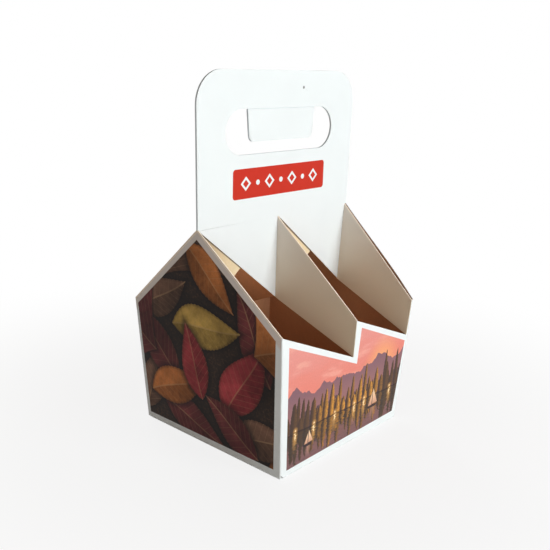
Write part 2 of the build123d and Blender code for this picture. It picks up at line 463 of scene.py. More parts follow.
def paint_handle(settings):
    """Coated face of the handle with its label, a speck and a faint scratch."""
    def paint(nodes, x, y, z):
        coat, grain = coat_colour(nodes, x, y, z, settings.coat)
        side = nodes.math("SIGN", y)
        along = nodes.times(x, nodes.times(side, -1.0))
        field = rounded_field(nodes, along, z, LABEL_CENTRE, LABEL_HALF_SIZE, LABEL_ROUNDING)
        marks = label_marks(nodes, along, z)
        ink = nodes.mix(nodes.times(grain, 0.12), settings.label, WORN_INK)
        ink = nodes.mix(nodes.printed(marks), ink, coat)
        colour = nodes.mix(nodes.printed(field), coat, ink)
        front = nodes.below(y, 0.0)
        radius = nodes.reach(nodes.minus(x, SPECK[0]), nodes.minus(z, SPECK[1]))
        speck = nodes.times(nodes.ease(radius, *SPECK_RADIUS), front)
        colour = nodes.mix(nodes.times(speck, 0.85), colour, SPECK_COLOUR)
        line = nodes.size(nodes.within(x, z, SPECK, SCRATCH_END))
        past_start = nodes.ease(x, SPECK[0] + 1.5, SPECK[0] + 2.2)
        before_end = nodes.ease(x, SCRATCH_END[0], SCRATCH_END[0] - 1.0)
        part = nodes.times(past_start, before_end)
        scratch = nodes.times(nodes.ease(line, *SCRATCH_HALF_WIDTH), part)
        scratch = nodes.times(nodes.times(scratch, front), SCRATCH_SHARE)
        return nodes.mix(scratch, colour, SCRATCH_COLOUR), grain
    return paint


# Border of the picture on the sawtooth panels, from corner to corner, along the panel and up
PICTURE_SIDES = ((-62.6, 87.4), (-56.8, 5.1), (57.5, 7.0), (63.5, 59.6))
PICTURE_HIGH_CREST = ((63.5, 59.6), (8.9, 82.3), (7.4, 57.6))
PICTURE_LOW_CREST = ((7.4, 57.6), (-62.6, 87.4))

# Sailing boats: where the hull meets the water, along and up, and the mast's height
BOATS = ((30.0, 19.0, 14.0), (-38.0, 15.0, 11.0))
FREEBOARD = 1.7
SAIL_FOOT_COLOUR = (0.60, 0.30, 0.20)
SAIL_TOP_COLOUR = (1.0, 0.72, 0.46)
SAIL_MIRRORED = (0.75, 0.40, 0.26)
HULL_COLOUR = (0.05, 0.035, 0.04)


def paint_boat(nodes, along, up, boat, picture):
    """Puts one boat with a lit sail and a jib over the picture."""
    middle, foot, mast = boat
    boom = (middle + 0.5, foot + 2.2)
    outer = (middle + 0.45 * mast, foot + 2.6)
    sail = nodes.within(along, up, boom, outer, (middle + 0.5, foot + mast), boom)
    tack = (middle - 0.3 * mast, foot + 2.0)
    inner = (middle - 0.1, foot + 2.0)
    jib = nodes.within(along, up, tack, inner, (middle - 0.1, foot + 0.85 * mast), tack)
    stem = (middle + 0.42 * mast, foot + FREEBOARD)
    stern = (middle - 0.40 * mast, foot + FREEBOARD)
    keel = (middle + 0.30 * mast, foot)
    hull = nodes.within(along, up, keel, stem, stern, (middle - 0.28 * mast, foot), keel)
    cloth = nodes.mix(nodes.ease(up, foot, foot + mast), SAIL_FOOT_COLOUR, SAIL_TOP_COLOUR)
    picture = nodes.mix(nodes.printed(nodes.most(sail, jib)), picture, cloth)
    from_mast = nodes.size(nodes.minus(along, middle + 0.1 * mast))
    below = nodes.below(up, foot)
    below = nodes.times(nodes.ease(up, foot - 0.8 * mast, foot - 0.1), below)
    mirrored = nodes.times(nodes.ease(from_mast, 0.25 * mast, 0.05 * mast), below)
    picture = nodes.mix(nodes.times(mirrored, 0.4), picture, SAIL_MIRRORED)
    return nodes.mix(nodes.printed(hull), picture, HULL_COLOUR)


# Height of the waterline in the picture, the sun behind the far hills, and lanterns along the shore
SHORE = 28.0
SUN = (37.0, 50.0)
LANTERNS = (-51.0, -33.0, -12.0, 9.0, 20.0, 50.0)
LANTERN_HEIGHT = 1.6

# How far the sky's streaks wander, and the heights between which its low colour turns to its high one
SKY_STREAK = 26.0
SKY_BAND = (42.0, 84.0)

# Distances from the sun's middle between which its disc and its halo fade in
SUN_DISC = (6.2, 5.6)
SUN_HALO = (24.0, 5.0)

# How far noise lifts the crest of each range of hills, and the crest's lowest height
FAR_HILLS = (34.0, 36.5)
NEAR_HILLS = (30.0, 23.0)

# Thin cloud, the sun, haze at the hills' foot, the line of the shore, and the heart of a lantern
WISP_COLOUR = (0.96, 0.56, 0.44)
SUN_COLOUR = (1.0, 0.82, 0.55)
HILL_FOOT_COLOUR = (0.33, 0.16, 0.16)
BANK_COLOUR = (0.035, 0.025, 0.025)
LANTERN_COLOUR = (1.0, 0.80, 0.46)

# Share of each colour that the water mirrors, near its shore and far from it
MIRRORED_NEAR = (0.72, 0.70, 0.66)
MIRRORED_FAR = (0.90, 0.84, 0.80)

# Rows of poplars, the farther one first: pitch, tallest tree, place of the first, seed, share of gold
POPLAR_ROWS = ((4.6, 36.0, 1.3, 3.0, 0.5), (6.1, 26.0, 0.2, 11.0, 1.0))


def poplar_row(nodes, along, above, row, settings, picture):
    """Row of narrow trees of uneven height, lit from the right in the middle of the picture."""
    pitch, tallest, start, seed, share_of_gold = row
    steps = nodes.linear(along, 1 / pitch, start + 100.0)
    index = nodes.plus(nodes.math("FLOOR", steps), seed)
    chance = nodes.add("ShaderNodeTexWhiteNoise", (("W", index),), noise_dimensions="1D").outputs["Value"]
    swell = nodes.noise(nodes.point(along, seed), 0.035, 1.0)
    height = nodes.times(nodes.linear(chance, 0.55, 0.25), tallest)
    height = nodes.times(height, nodes.linear(swell, 1.2, 0.45))
    share = nodes.math("DIVIDE", above, height)
    leafy = nodes.noise(nodes.point(along, above, seed), 0.75, 3.0, 0.65)
    offset = nodes.times(nodes.minus(nodes.math("FRACT", steps), 0.5), pitch)
    taper = nodes.math("POWER", nodes.most(nodes.minus(1.0, share), 0.0), 0.6)
    foot = nodes.math("POWER", nodes.most(share, 0.03), 0.2)
    half = nodes.times(nodes.times(taper, foot), 0.72 * pitch)
    inside = nodes.minus(half, nodes.size(offset))
    inside = nodes.plus(inside, nodes.linear(leafy, 1.6, -0.8))
    below_tip = nodes.times(nodes.minus(height, above), 0.5)
    inside = nodes.least(inside, below_tip)
    turn = nodes.math("DIVIDE", offset, nodes.most(half, 0.2))
    side = nodes.times(nodes.ease(turn, -0.7, 0.7), nodes.linear(leafy, 1.7, -0.1))
    reach = nodes.ease(nodes.size(nodes.minus(along, 4.0)), 44.0, 22.0)
    gilt = nodes.times(side, nodes.linear(reach, share_of_gold * 0.9, 0.1))
    colour = nodes.mix(gilt, settings.tree, settings.gold)
    return nodes.mix(nodes.ease(inside, -0.12, 0.15), picture, colour)


def lake_shore(nodes, along, above, settings):
    """What stands over the waterline: sky and sun, two ranges of hills, poplars."""
    up = nodes.plus(above, SHORE)
    drift = nodes.point(nodes.times(along, 0.25), nodes.linear(along, 0.08, up))
    streaks = nodes.noise(drift, 0.12, 4.0, 0.55)
    level = nodes.linear(streaks, SKY_STREAK, nodes.minus(up, SKY_STREAK / 2))
    picture = nodes.mix(nodes.ease(level, *SKY_BAND), settings.sky_low, settings.sky_high)
    wisps = nodes.ease(streaks, 0.52, 0.72)
    picture = nodes.mix(nodes.times(wisps, 0.35), picture, WISP_COLOUR)
    from_sun = nodes.reach(nodes.minus(along, SUN[0]), nodes.minus(up, SUN[1]))
    halo = nodes.times(nodes.ease(from_sun, *SUN_HALO), 0.45)
    picture = nodes.mix(halo, picture, settings.glow)
    picture = nodes.mix(nodes.ease(from_sun, *SUN_DISC), picture, SUN_COLOUR)

    far = nodes.linear(nodes.noise(nodes.point(along, 0.0), 0.045, 4.0, 0.5), *FAR_HILLS)
    far_colour = nodes.mix(nodes.ease(up, 36.0, 58.0), HILL_FOOT_COLOUR, settings.far_hill)
    picture = nodes.mix(nodes.ease(nodes.minus(far, up), -0.25, 0.25), picture, far_colour)
    near = nodes.linear(nodes.noise(nodes.point(along, 7.0), 0.06, 5.0, 0.62), *NEAR_HILLS)
    woods = nodes.noise(nodes.point(along, nodes.times(up, 0.5)), 0.5, 4.0, 0.65)
    near_colour = nodes.mix(nodes.ease(woods, 0.42, 0.75), settings.near_hill, settings.far_hill)
    picture = nodes.mix(nodes.ease(nodes.minus(near, up), -0.3, 0.3), picture, near_colour)
    for row in POPLAR_ROWS:
        picture = poplar_row(nodes, along, above, row, settings, picture)
    return picture


def lake_picture(nodes, along, up, settings):
    """Evening over a lake, whose rippled water mirrors its shore, with lanterns and boats."""
    place = nodes.point(along, up)
    fine = nodes.noise(place, 0.9, 3.0, 0.6)
    waterline = nodes.linear(nodes.noise(nodes.point(along, 3.0), 0.05, 2.0), 3.0, SHORE - 1.5)
    depth = nodes.minus(waterline, up)
    wet = nodes.ease(depth, -0.1, 0.1)
    ripple_place = nodes.point(nodes.times(along, 0.22), nodes.times(up, 1.5))
    ripple = nodes.minus(nodes.noise(ripple_place, 0.6, 3.0, 0.6), 0.5)
    swing = nodes.least(nodes.linear(depth, 0.9, 2.0), 11.0)
    shake = nodes.times(ripple, nodes.times(wet, swing))
    above = nodes.plus(nodes.size(depth), shake)
    across = nodes.linear(nodes.times(ripple, wet), 5.0, along)
    picture = lake_shore(nodes, across, above, settings)
    tint = nodes.mix(nodes.ease(depth, 0.0, 22.0), MIRRORED_NEAR, MIRRORED_FAR)
    mirrored = nodes.mix(1.0, picture, tint, "MULTIPLY")
    murk = nodes.linear(nodes.ease(ripple, 0.0, 0.16), 0.35, 0.20)
    mirrored = nodes.mix(murk, mirrored, settings.water)
    picture = nodes.mix(wet, picture, mirrored)
    bank = nodes.ease(nodes.size(depth), 0.9, 0.2)
    picture = nodes.mix(nodes.times(bank, 0.7), picture, BANK_COLOUR)
    stretch = nodes.linear(wet, -0.78, 1.0)
    rise = nodes.times(nodes.minus(above, LANTERN_HEIGHT), stretch)
    for lantern in LANTERNS:
        radius = nodes.reach(nodes.minus(across, lantern), rise)
        halo = nodes.times(nodes.ease(radius, 3.0, 0.2), 0.5)
        picture = nodes.mix(halo, picture, settings.glow)
        picture = nodes.mix(nodes.ease(radius, 0.75, 0.45), picture, LANTERN_COLOUR)
    for boat in BOATS:
        picture = paint_boat(nodes, along, up, boat, picture)
    return nodes.scaled(picture, nodes.linear(fine, 0.24, 0.88))


def paint_sawtooth(board, lake):
    """Front and back panels: white border round the lake picture."""
    def paint(nodes, x, y, z):
        coat, grain = coat_colour(nodes, x, y, z, board.coat)
        along = nodes.times(x, nodes.times(nodes.math("SIGN", y), -1.0))
        low = nodes.within(along, z, *PICTURE_LOW_CREST)
        high = nodes.within(along, z, *PICTURE_HIGH_CREST)
        sides = nodes.within(along, z, *PICTURE_SIDES)
        inside = nodes.least(sides, nodes.most(low, high))
        picture = lake_picture(nodes, along, z, lake)
        return nodes.mix(nodes.printed(inside), coat, picture), grain
    return paint


# Border of the picture on the gabled panels
GABLE_BORDER = ((-63.4, 85.6), (-59.0, 5.2), (57.1, 5.9), (61.6, 91.7), (-0.8, 140.6), (-63.4, 85.6))

# Struck slopes of the gabled panels, from eave to peak and down
GABLE_SLOPES = ((66.8, SHARED_EAVE_HEIGHT), (0.0, PEAK_HEIGHT), (-66.5, EAVE_HEIGHT))

# Leaves, lowest first: middle along and up, turn in degrees, half length, half width, colour
LEAVES = (
    (-40, 96, 35, 30, 13, "umber"),
    (44, 88, 118, 31, 13, "maroon"),
    (-52, 34, 75, 28, 12, "umber"),
    (8, 118, -38, 27, 12, "orange"),
    (50, 22, 20, 29, 13, "umber"),
    (-14, 14, -12, 30, 13, "maroon"),
    (-46, 62, 140, 31, 14, "maroon"),
    (34, 56, 62, 33, 15, "crimson"),
    (2, 84, 12, 31, 14, "mustard"),
    (-28, 36, 28, 29, 13, "orange"),
    (22, 22, 152, 27, 12, "maroon"),
    (-10, 58, 110, 26, 12, "crimson"),
)

# Crumbs of earth, shade under a leaf, and a leaf's dry rim and ribs
CRUMB_COLOUR = (0.10, 0.055, 0.035)
LEAF_SHADOW_COLOUR = (0.012, 0.008, 0.008)
DRIED_RIM_COLOUR = (0.05, 0.025, 0.015)
RIB_COLOUR = (0.75, 0.50, 0.28)

# Teeth and side ribs of a leaf: half of the distance from one to the next
TOOTH_PITCH = 1.6
RIB_PITCH = 2.6


def leaf_group():
    """Node group that draws one leaf: its distance inside the outline, and its colour."""
    group = bpy.data.node_groups.new("autumn_leaf", "ShaderNodeTree")
    for name, kind in (("Point", "NodeSocketVector"), ("Half length", "NodeSocketFloat"),
                       ("Half width", "NodeSocketFloat"), ("Colour", "NodeSocketColor")):
        group.interface.new_socket(name=name, in_out="INPUT", socket_type=kind)
    for name, kind in (("Inside", "NodeSocketFloat"), ("Paint", "NodeSocketColor")):
        group.interface.new_socket(name=name, in_out="OUTPUT", socket_type=kind)
    nodes = ShaderNodes(group)
    given = nodes.add("NodeGroupInput").outputs
    split = nodes.add("ShaderNodeSeparateXYZ", ((0, given["Point"]),)).outputs
    curl = nodes.math("SINE", nodes.times(split[0], 0.06))
    across = nodes.linear(curl, 2.6, split[1])
    share = nodes.math("DIVIDE", split[0], given["Half length"])
    fullness = nodes.minus(1.0, nodes.times(share, share))
    lean = nodes.linear(share, -0.35, 1.0)
    half = nodes.times(nodes.times(fullness, lean), given["Half width"])
    away = nodes.size(across)
    teeth = nodes.math("PINGPONG", split[0], TOOTH_PITCH)
    half = nodes.linear(teeth, 0.28, half)
    inside = nodes.minus(half, away)
    rib = nodes.ease(away, 0.75, 0.25)
    slant = nodes.linear(away, -0.75, split[0])
    side_ribs = nodes.ease(nodes.math("PINGPONG", slant, RIB_PITCH), 0.35, 0.05)
    ribs = nodes.most(rib, nodes.times(side_ribs, 0.55))
    mottle = nodes.noise(given["Point"], 0.16, 4.0, 0.62)
    turned = nodes.ease(across, -1.0, 1.0)
    tone = nodes.linear(turned, 0.45, nodes.linear(mottle, 1.3, 0.02))
    body = nodes.scaled(given["Colour"], tone)
    rim = nodes.ease(inside, 2.4, 0.0)
    dried = nodes.mix(nodes.times(rim, 0.55), body, DRIED_RIM_COLOUR)
    pale = nodes.mix(0.5, given["Colour"], RIB_COLOUR)
    paint = nodes.mix(nodes.times(ribs, 0.5), dried, pale)
    nodes.add("NodeGroupOutput", (("Inside", inside), ("Paint", paint)))
    return group


def leaf_picture(nodes, along, up, settings):
    """Fallen leaves on dark earth."""
    group = leaf_group()
    place = nodes.point(along, up)
    crumbs = nodes.noise(place, 0.5, 5.0, 0.7)
    picture = nodes.mix(nodes.ease(crumbs, 0.45, 0.75), settings.ground, CRUMB_COLOUR)
    for middle_along, middle_up, turn, half_length, half_width, tint in LEAVES:
        mapping = nodes.add(
            "ShaderNodeMapping",
            (("Vector", place), ("Location", (middle_along, middle_up, 0.0)),
             ("Rotation", (0.0, 0.0, math.radians(turn)))),
            vector_type="TEXTURE",
        )
        leaf = nodes.add(
            "ShaderNodeGroup",
            (("Point", mapping.outputs[0]), ("Half length", half_length),
             ("Half width", half_width), ("Colour", getattr(settings, tint))),
            node_tree=group,
        ).outputs
        shadow = nodes.times(nodes.ease(leaf["Inside"], -6.0, 0.5), 0.75)
        picture = nodes.mix(shadow, picture, LEAF_SHADOW_COLOUR)
        picture = nodes.mix(nodes.ease(leaf["Inside"], -0.15, 0.15), picture, leaf["Paint"])
    dots = nodes.linear(nodes.noise(place, 1.1, 3.0, 0.6), 0.4, 0.8)
    gloom = nodes.linear(nodes.ease(nodes.noise(place, 0.022, 2.0), 0.35, 0.62), 0.55, 0.5)
    return nodes.scaled(picture, nodes.times(dots, gloom))


def paint_gable(board, leaves):
    """End panels: white border round the leaf picture, in painted shade along its slopes and rubbed to the
    fibre at their edge.
    """
    def paint(nodes, x, y, z):
        coat, grain = coat_colour(nodes, x, y, z, board.coat)
        along = nodes.times(y, nodes.math("SIGN", x))
        inside = nodes.within(along, z, *GABLE_BORDER)
        slope = nodes.within(along, z, *GABLE_SLOPES)
        # Painted shade: the coat grows darker and warmer within a few millimetres of the slopes
        coat = nodes.mix(nodes.ease(slope, 8.0, 5.0), coat, board.painted_shade_slope_coat)
        ragged = nodes.linear(grain, 0.6, -0.3)
        rubbed = nodes.ease(nodes.plus(slope, ragged), 1.3, 0.7)
        coat = nodes.mix(nodes.times(rubbed, 0.9), coat, board.cut_edge)
        picture = leaf_picture(nodes, along, z, leaves)
        return nodes.mix(nodes.printed(inside), coat, picture), grain
    return paint


# Heights between which painted light makes the brown side of a divider lighter towards its top, and how
# much lighter
DIVIDER_SHADE_HEIGHT = 72.0
DIVIDER_LIT_HEIGHT = 112.0
DIVIDER_PAINTED_LIGHT = 1.1


def paint_kraft(settings, brown, painted_light):
    """Brown side: short fibres both ways, a few dark flecks, and painted light that makes a divider's brown
    side lighter towards its top.
    """
    def paint(nodes, x, y, z):
        place = nodes.point(x, y, z)
        upright = nodes.point(x, y, nodes.times(z, 0.22))
        level = nodes.point(nodes.times(x, 0.22), nodes.times(y, 0.22), z)
        fibres = nodes.plus(nodes.noise(upright, 1.1, 4.0, 0.65), nodes.noise(level, 1.4, 4.0, 0.65))
        cloud = nodes.noise(place, 0.05, 3.0)
        flecks = nodes.ease(nodes.noise(place, 1.7, 2.0), 0.66, 0.78)
        tone = nodes.linear(fibres, 0.22, nodes.linear(cloud, 0.16, 0.70))
        # Painted light on a divider's brown side, growing towards its top
        divider = nodes.below(nodes.size(x), DIVIDER_REACH)
        lit = nodes.times(nodes.ease(z, DIVIDER_SHADE_HEIGHT, DIVIDER_LIT_HEIGHT), divider)
        tone = nodes.times(tone, nodes.linear(lit, painted_light, 1.0))
        flecked = nodes.times(flecks, 0.55)
        colour = nodes.mix(flecked, nodes.scaled(brown, tone), settings.kraft_fleck)
        return colour, nodes.times(fibres, 0.5)
    return paint


# Sawtooth lower edge of a handle ply, along and up: its two slopes, each from its low end
PLY_LOW_HEIGHT = 90.6
PLY_FIRST_SLOPE = ((DIVIDER_ROOT, PLY_LOW_HEIGHT), (-73.3, PEAK_HEIGHT))
PLY_SECOND_SLOPE = ((67.8, PLY_LOW_HEIGHT), (DIVIDER_ROOT, PEAK_HEIGHT))


def below_ply_edge(nodes, along, up):
    """Distance below the sawtooth lower edge of the handle ply on one side."""
    first = nodes.within(along, up, *PLY_FIRST_SLOPE)
    second = nodes.within(along, up, *PLY_SECOND_SLOPE)
    before = nodes.below(along, DIVIDER_ROOT)
    rest = nodes.times(nodes.minus(first, second), before)
    return nodes.plus(rest, second)


def paint_ply(settings):
    """Brown side of a handle ply, with a painted shadow line where the other ply's edge stands over it."""
    # The plies' brown side in painted light, as lit by the key lamp
    plain = paint_kraft(settings, settings.kraft, 0.0)

    def paint(nodes, x, y, z):
        colour, grain = plain(nodes, x, y, z)
        turned = nodes.times(x, -1.0)
        under = nodes.most(below_ply_edge(nodes, x, z), below_ply_edge(nodes, turned, z))
        # Painted shadow just under the other ply's edge
        line = nodes.ease(under, 0.95, 0.4)
        return nodes.mix(nodes.times(line, 0.85), colour, settings.ply_joint_and_painted_shadow), grain
    return paint


def paint_cut_edge(settings):
    """Struck edge: pale fibre, with the dark line of the glued faces along the handle, and a painted shadow
    on the outer end panel's edge beside its ply.
    """
    def paint(nodes, x, y, z):
        grain = nodes.noise(nodes.point(x, y, z), 2.2, 3.0, 0.6)
        tone = nodes.linear(grain, 0.2, 0.9)
        middle = nodes.below(nodes.size(y), BOARD + NEAR)
        fibre = nodes.mix(middle, settings.cut_edge, settings.handle_edge)
        line = nodes.times(nodes.ease(nodes.size(y), 0.12, 0.04), 0.1)
        # Painted shadow on the struck edge of the outer end panel, beside the gap to its ply
        outside = nodes.linear(z, END_SLOPE, BASE_HALF_LENGTH)
        depth = nodes.minus(outside, nodes.size(x))
        doubled = nodes.below(nodes.times(y, nodes.math("SIGN", x)), -BOARD)
        shaded = nodes.times(nodes.below(depth, BOARD + 2 * NEAR), doubled)
        line = nodes.most(line, nodes.times(shaded, 0.9))
        return nodes.mix(line, nodes.scaled(fibre, tone), settings.ply_joint_and_painted_shadow), grain
    return paint


# Height of each finish's bump in metres
COAT_BUMP = 0.00003
KRAFT_BUMP = 0.00006
EDGE_BUMP = 0.00005

# Gloss of the prints, and roughness of the uncoated faces
PRINT_GLOSS = 0.08
KRAFT_ROUGHNESS = 0.86
EDGE_ROUGHNESS = 0.88


def board_materials(scene):
    """Every finish of the board, some with painted light and shade, in the order of the piece's slots."""
    board = scene.carrier_board
    lake = paint_sawtooth(board, scene.carrier_lake)
    leaves = paint_gable(board, scene.carrier_leaves)
    # Brown side inside the cells, in painted shade
    kraft = paint_kraft(board, board.painted_shade_kraft, DIVIDER_PAINTED_LIGHT)
    rough = board.coat_roughness
    return {
        "coat": board_material("coated_board", paint_outer_coat(board), rough, COAT_BUMP),
        "inner": board_material("coated_inside", paint_inner_coat(board), rough, COAT_BUMP),
        "handle": board_material(HANDLE_FINISH, paint_handle(board), rough, COAT_BUMP),
        "lake": board_material("lake_print", lake, rough, COAT_BUMP, PRINT_GLOSS),
        "leaves": board_material("leaf_print", leaves, rough, COAT_BUMP, PRINT_GLOSS),
        "kraft": board_material("kraft_side", kraft, KRAFT_ROUGHNESS, KRAFT_BUMP),
        "ply": board_material("kraft_ply", paint_ply(board), KRAFT_ROUGHNESS, KRAFT_BUMP),
        "cut": board_material(EDGE_FINISH, paint_cut_edge(board), EDGE_ROUGHNESS, EDGE_BUMP),
    }


def half_length(height, inset):
    """Half the body's length at a height, to a surface set in from the outside."""
    return BASE_HALF_LENGTH + height * END_SLOPE - inset


def half_depth(height, inset):
    """Half the body's depth at a height, to a surface set in from the outside."""
    return BASE_HALF_DEPTH + height * FRONT_SLOPE - inset


# Part of its normal from which a face is square to an axis, turned up or down, struck, or the flap's side
FACING = 0.9
TURNED = 0.3
STRUCK = 0.25
FLAP_FACING = 0.5

# Depths in from an end's outside: past its panel, past the outer face of its ply, and clear of both
PAST_PANEL = 0.9
PAST_PLY = 1.4
CLEAR_OF_END = 2.2

# How far below the peaks a face still counts as the handle's edge
PEAK_BAND = 0.5


def sheet_finish(middle, normal):
    """Which finish a face of the folded sheet has, from its place and its direction."""
    x, y, z = middle
    outward_x = normal.x * math.copysign(1, x)
    outward_y = normal.y * math.copysign(1, y)
    if abs(x) < DIVIDER_REACH and abs(normal.x) > FACING and abs(y) > BOARD:
        coated = normal.x * math.copysign(1, y) > 0
        return "inner" if coated else "kraft"
    in_handle = abs(y) < BOARD + NEAR
    if in_handle and abs(normal.y) > FACING:
        return "handle" if abs(y) > BOARD / 2 else "ply"
    # Painted shade: the handle's downward struck edges take the ply's finish, whose painted shadow line
    # shows them dark
    if in_handle and normal.z < -TURNED and z < PEAK_HEIGHT:
        return "ply"
    if in_handle and abs(x) < half_length(min(z, PEAK_HEIGHT), CLEAR_OF_END):
        return "cut"
    if z > PEAK_HEIGHT - PEAK_BAND:
        return "cut"
    at_foot = z < BASE_ROUNDING + 2 * NEAR
    if at_foot and normal.z > TURNED:
        return "kraft"
    if at_foot and normal.z < -TURNED:
        return "coat"
    if abs(normal.z) > STRUCK:
        return "cut"
    if abs(normal.x) > abs(normal.y):
        depth = half_length(z, 0) - abs(x)
        if outward_x < 0:
            return "inner" if depth > PAST_PLY else "kraft"
        if depth > PAST_PANEL:
            return "kraft"
        return "leaves" if depth < NEAR else "coat"
    if outward_y > 0:
        return "lake" if half_depth(z, 0) - abs(y) < NEAR else "coat"
    return "kraft"


def flap_finish(middle, normal):
    """Which finish a face of the hand flap has."""
    return "handle" if abs(normal.y) > FLAP_FACING else "cut"


# Bow of the far end panel away from its ply: how far out, and how far down the panel it reaches
BOW = 1.4
BOW_DEPTH = 48.0

# Share of the slope where the bow ends, and how far it leans to the eave
BOW_END = 0.95
BOW_SKEW = 0.65

# Cuts that give the panel points to bend at: steps along the slope, and shares of the bow's depth
BOW_STEPS = 14
BOW_CUTS = (0.08, 0.2, 0.36, 0.54, 0.76, 1.0)

# How far past the board's thickness a point may lie and still be the end panel's
PANEL_MARGIN = 0.15


def in_far_panel(point):
    """Whether a point, in millimetres, lies in the board of the far end panel."""
    return point.x > 0 and half_length(point.z, BOARD + PANEL_MARGIN) < point.x


def bow_far_panel(shape):
    """Bows the far end panel out a little between its peak and its front eave."""
    eave_reach = half_depth(EAVE_HEIGHT, 0)
    peak = Vector((0.0, -BOARD, PEAK_HEIGHT))
    fall = Vector((0.0, BOARD - eave_reach, EAVE_HEIGHT - PEAK_HEIGHT)).normalized()
    inward = Vector((0.0, fall.z, -fall.y))
    across = Vector((0.0, 1.0, 0.0))
    cuts = [(across * (-eave_reach * step / BOW_STEPS), across) for step in range(1, BOW_STEPS)]
    cuts += [(peak + inward * BOW_DEPTH * share, inward) for share in BOW_CUTS]
    for place, normal in cuts:
        panel = [face for face in shape.faces if all(in_far_panel(corner.co / MM) for corner in face.verts)]
        near = set(panel)
        near.update(edge for face in panel for edge in face.edges)
        near.update(corner for face in panel for corner in face.verts)
        bmesh.ops.bisect_plane(shape, geom=list(near), dist=MERGE, plane_co=place * MM, plane_no=normal)
    for corner in shape.verts:
        point = corner.co / MM
        if not in_far_panel(point) or not -eave_reach < point.y < -BOARD:
            continue
        along = min((eave_reach + point.y) / eave_reach / BOW_END, 1.0) ** BOW_SKEW
        down = min(max((point - peak).dot(inward) / BOW_DEPTH, 0.0), 1.0)
        corner.co.x += MM * BOW * math.sin(math.pi * along) ** 2 * (1.0 - down) ** 2 * (1.0 + 2.0 * down)


# Angle between two faces from which their shared edge is sharp
SHARP_TURN = math.radians(30)


def board_piece(name, node, body, finish_of, materials, reshape=None):
    """Piece made of a merged copy of a solid's mesh, with a finish for each face."""
    shape = bmesh.new()
    shape.from_mesh(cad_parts[node].data)
    bmesh.ops.remove_doubles(shape, verts=shape.verts, dist=MERGE)
    shape.normal_update()
    slots = list(materials)
    for face in shape.faces:
        finish = finish_of(face.calc_center_median() / MM, face.normal)
        face.material_index = slots.index(finish)
    if reshape:
        reshape(shape)
    for face in shape.faces:
        face.smooth = True
    mesh = bpy.data.meshes.new(name)
    shape.to_mesh(mesh)
    shape.free()
    mesh.set_sharp_from_angle(angle=SHARP_TURN)
    for material in materials.values():
        mesh.materials.append(material)
    piece = new_object(name, mesh)
    even = piece.modifiers.new("Even shading", "WEIGHTED_NORMAL")
    even.keep_sharp = True
    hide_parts(node)
    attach(piece, body)


class CARRIER_OT_board(bpy.types.Operator):
    """Make the folded and glued sheet"""

    bl_idname = "carrier.board"
    bl_label = "Folded board"

    def execute(self, context):
        materials = board_materials(context.scene)
        board_piece("carrier_board", SHEET_NODE, "carrier", sheet_finish, materials, bow_far_panel)
        return {"FINISHED"}


class CARRIER_OT_hand_flap(bpy.types.Operator):
    """Make the flap that hangs in the hand hole"""

    bl_idname = "carrier.hand_flap"
    bl_label = "Hand flap"

    def execute(self, context):
        finishes = bpy.data.materials
        shared = {"handle": finishes.get(HANDLE_FINISH), "cut": finishes.get(EDGE_FINISH)}
        if None in shared.values():
            raise RuntimeError("The folded board comes first, because the flap shares its finishes")
        board_piece("carrier_hand_flap", FLAP_NODE, "flap", flap_finish, shared)
        return {"FINISHED"}


WHITE = (1.0, 1.0, 1.0)

# Floor's own colour, and the share of plain white that the camera sees near the object and away from it
FLOOR_COLOUR = (0.86, 0.86, 0.86)
NEAR_WHITE = 0.84
FAR_WHITE = 1.0
FADE_FROM = 0.10
FADE_TO = 0.40

# Way to the dimmest part of the sky, behind the object on the left, and where the dimming starts and ends
SHADED_WAY = (-0.55, 0.83, 0.05)
SHADED_FROM = -0.3
SHADED_TO = 0.9

# Point that the lamps face, where two of them stand, and how wide all three are, in metres
LIT_POINT = (0.0, 0.0, 0.11)
FILL_PLACE = (-0.48, -0.48, 0.06)
BACK_PLACE = (0.50, 1.45, 0.55)
KEY_WIDTH = 0.9
FILL_WIDTH = 0.35
BACK_WIDTH = 0.8
KEY_COLOUR = (0.94, 0.985, 1.0)
FILL_COLOUR = (1.0, 0.92, 0.84)
BACK_COLOUR = (1.0, 0.99, 0.98)


def background_rays(nodes):
    """1 for rays that show the plain background: from the camera, off a gloss, or through glass."""
    rays = nodes.add("ShaderNodeLightPath").outputs
    seen = nodes.most(rays["Is Camera Ray"], rays["Is Glossy Ray"])
    return nodes.most(seen, rays["Is Transmission Ray"])


def studio_floor(size):
    """Pale floor that shows white to the camera and keeps a soft shadow."""
    shape = bmesh.new()
    bmesh.ops.create_grid(shape, x_segments=1, y_segments=1, size=size / 2)
    mesh = bpy.data.meshes.new("studio_floor")
    shape.to_mesh(mesh)
    shape.free()
    floor = new_object("studio_floor", mesh)
    material, nodes = empty_material("studio_floor")
    diffuse = nodes.add("ShaderNodeBsdfDiffuse", (("Color", FLOOR_COLOUR),))
    white = nodes.add("ShaderNodeEmission", (("Color", WHITE), ("Strength", 1.0)))
    place = nodes.add("ShaderNodeTexCoord").outputs["Object"]
    away = nodes.add("ShaderNodeVectorMath", ((0, place),), operation="LENGTH").outputs["Value"]
    faded = nodes.ease(away, FADE_FROM, FADE_TO)
    share = nodes.times(background_rays(nodes), nodes.linear(faded, FAR_WHITE - NEAR_WHITE, NEAR_WHITE))
    blend = nodes.add("ShaderNodeMixShader", ((0, share), (1, diffuse.outputs[0]), (2, white.outputs[0])))
    nodes.add("ShaderNodeOutputMaterial", ((0, blend.outputs[0]),))
    mesh.materials.append(material)


